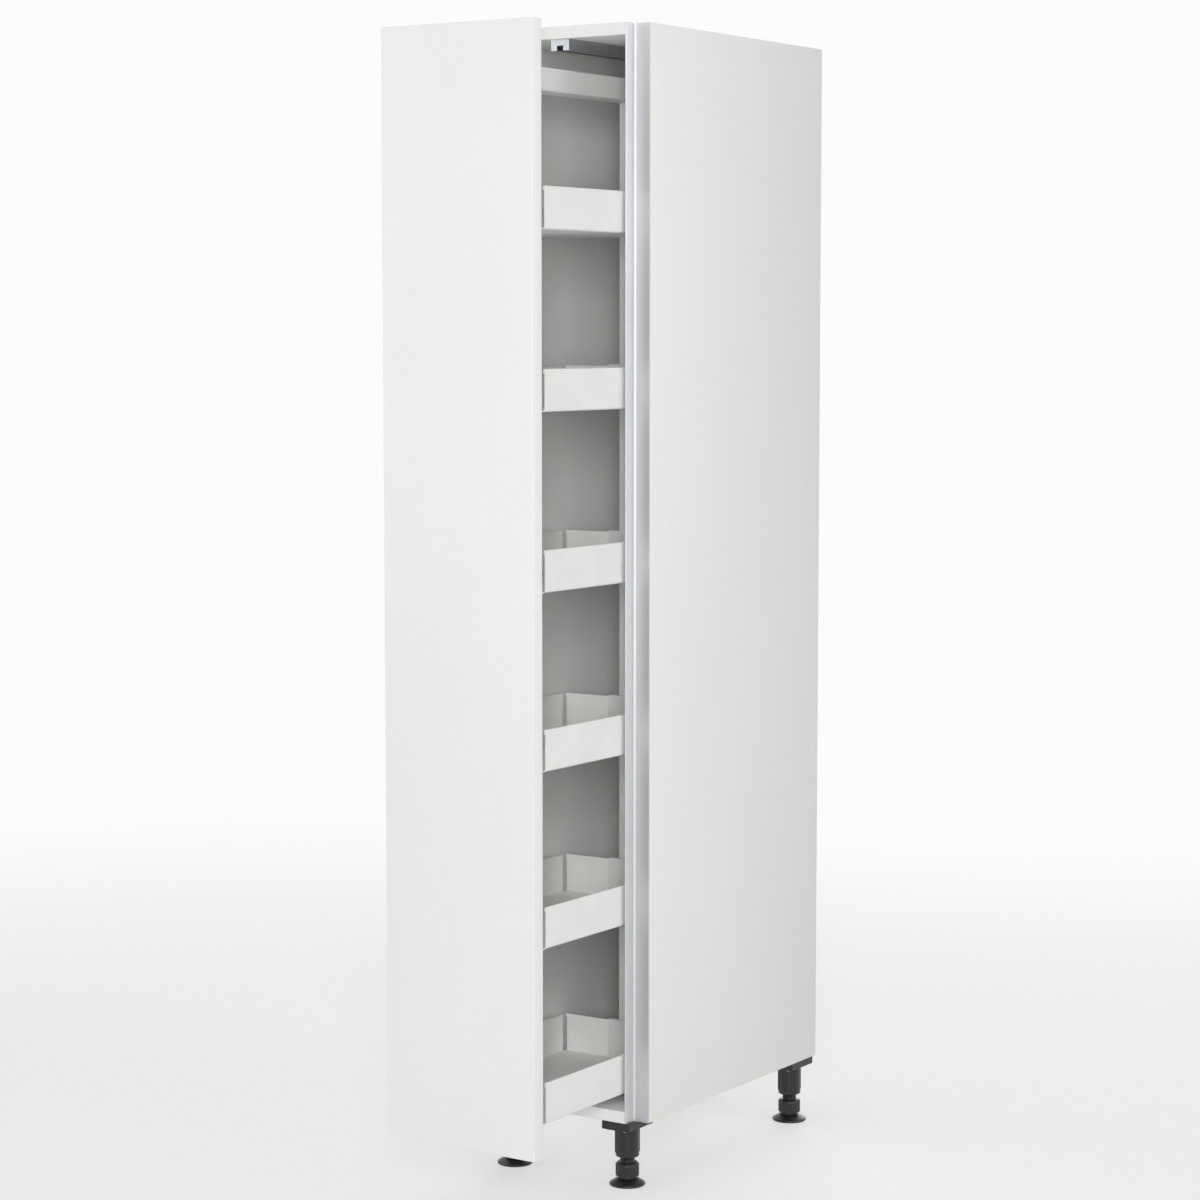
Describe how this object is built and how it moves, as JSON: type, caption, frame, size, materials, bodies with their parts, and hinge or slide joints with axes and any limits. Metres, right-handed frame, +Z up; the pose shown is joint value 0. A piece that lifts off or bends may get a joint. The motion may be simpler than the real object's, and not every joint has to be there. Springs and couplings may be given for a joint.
{
  "type": "pull out larder unit",
  "caption": "Tall narrow kitchen cabinet on adjustable legs, with a handle-less door drawing out a frame of trays, and a grip recess down one front corner.",
  "frame": {"origin": "on the floor, at the middle of the object's box with the pull-out drawn 240 mm out", "axes": "+Z up, the door faces -Y, +X to the right seen from the front"},
  "size_m": [0.3, 0.825, 1.838],
  "materials": {
    "carcass_board": "white melamine-faced chipboard, satin, with edge bands",
    "back_board": "white-faced hardboard",
    "beech": "fluted beech dowel",
    "grip_aluminium": "satin anodised",
    "leg_plastic": "moulded black polypropylene",
    "zinc_steel": "zinc plated",
    "ball_steel": "hardened and polished",
    "nylon": "natural nylon",
    "door_lacquer": "white lacquered board",
    "buffer_silicone": "clear silicone",
    "frame_powder": "white powder coat on steel tube",
    "cap_plastic": "moulded",
    "tray_powder": "white powder coat on folded sheet steel",
    "hook_powder": "powder coat on folded sheet steel"
  },
  "bodies": {
    "carcass": {"side_left": "carcass_board", "side_right": "carcass_board", "top_panel": "carcass_board", "bottom_panel": "carcass_board", "back_panel": "back_board", "fixing_rail": "carcass_board", "carcass_dowels": "beech", "grip_profile": "grip_aluminium", "leg_socket_front_left": "leg_plastic", "leg_socket_front_right": "leg_plastic", "leg_socket_rear_left": "leg_plastic", "leg_socket_rear_right": "leg_plastic", "leg_screws": "zinc_steel", "runner_cabinet_member": "zinc_steel", "runner_screws": "zinc_steel", "guide_rail": "zinc_steel", "guide_screws": "zinc_steel"},
    "pullout": {"runner_frame_member": "zinc_steel", "guide_carriage": "zinc_steel", "guide_pins": "zinc_steel", "door": "door_lacquer", "door_buffers": "buffer_silicone", "door_bracket_top": "zinc_steel", "door_bracket_middle": "zinc_steel", "door_bracket_bottom": "zinc_steel", "door_screws": "zinc_steel", "column_screws": "zinc_steel", "front_column": "frame_powder", "rear_column": "frame_powder", "column_plugs": "frame_powder", "front_shoe": "frame_powder", "rear_shoe": "frame_powder", "shoe_screws": "zinc_steel", "top_beam": "frame_powder", "beam_caps": "cap_plastic", "tray_1": "tray_powder", "tray_2": "tray_powder", "tray_3": "tray_powder", "tray_4": "tray_powder", "tray_5": "tray_powder", "tray_6": "tray_powder", "tray_hooks_front": "hook_powder", "tray_hooks_rear": "hook_powder"},
    "runner_middle": {"runner_middle_member": "zinc_steel"},
    "cage_outer": {"runner_cage_outer": "nylon", "runner_balls_outer": "ball_steel"},
    "cage_inner": {"runner_cage_inner": "nylon", "runner_balls_inner": "ball_steel"},
    "roller_front": {"guide_roller_front": "nylon"},
    "roller_rear": {"guide_roller_rear": "nylon"},
    "foot_front_left": {"leg_foot_front_left": "leg_plastic"},
    "foot_front_right": {"leg_foot_front_right": "leg_plastic"},
    "foot_rear_left": {"leg_foot_rear_left": "leg_plastic"},
    "foot_rear_right": {"leg_foot_rear_right": "leg_plastic"}
  },
  "joints": [
    {"name": "larder_slide", "type": "slide", "parent": "carcass", "child": "pullout", "axis": [0, -1, 0], "range_m": [-0.238, 0.21]},
    {"name": "runner_middle_slide", "type": "slide", "parent": "carcass", "child": "runner_middle", "axis": [0, -1, 0], "range_m": [-0.119, 0.105]},
    {"name": "cage_outer_slide", "type": "slide", "parent": "carcass", "child": "cage_outer", "axis": [0, -1, 0], "range_m": [-0.0595, 0.0525]},
    {"name": "cage_inner_slide", "type": "slide", "parent": "carcass", "child": "cage_inner", "axis": [0, -1, 0], "range_m": [-0.1785, 0.1575]},
    {"name": "roller_front_spin", "type": "hinge", "parent": "pullout", "child": "roller_front", "pos_m": [-0.0055, 0.0864, 1.81], "axis": [0, 0, 1], "continuous": true},
    {"name": "roller_rear_spin", "type": "hinge", "parent": "pullout", "child": "roller_rear", "pos_m": [-0.0055, 0.1222, 1.81], "axis": [0, 0, 1], "continuous": true},
    {"name": "foot_front_left_screw", "type": "slide", "parent": "carcass", "child": "foot_front_left", "axis": [0, 0, -1], "range_m": [0, 0.015]},
    {"name": "foot_front_right_screw", "type": "slide", "parent": "carcass", "child": "foot_front_right", "axis": [0, 0, -1], "range_m": [0, 0.015]},
    {"name": "foot_rear_left_screw", "type": "slide", "parent": "carcass", "child": "foot_rear_left", "axis": [0, 0, -1], "range_m": [0, 0.015]},
    {"name": "foot_rear_right_screw", "type": "slide", "parent": "carcass", "child": "foot_rear_right", "axis": [0, 0, -1], "range_m": [0, 0.015]}
  ],
  "couplings": [
    {"joint": "runner_middle_slide", "follows": "larder_slide", "ratio": 0.5},
    {"joint": "cage_outer_slide", "follows": "larder_slide", "ratio": 0.25},
    {"joint": "cage_inner_slide", "follows": "larder_slide", "ratio": 0.75}
  ]
}
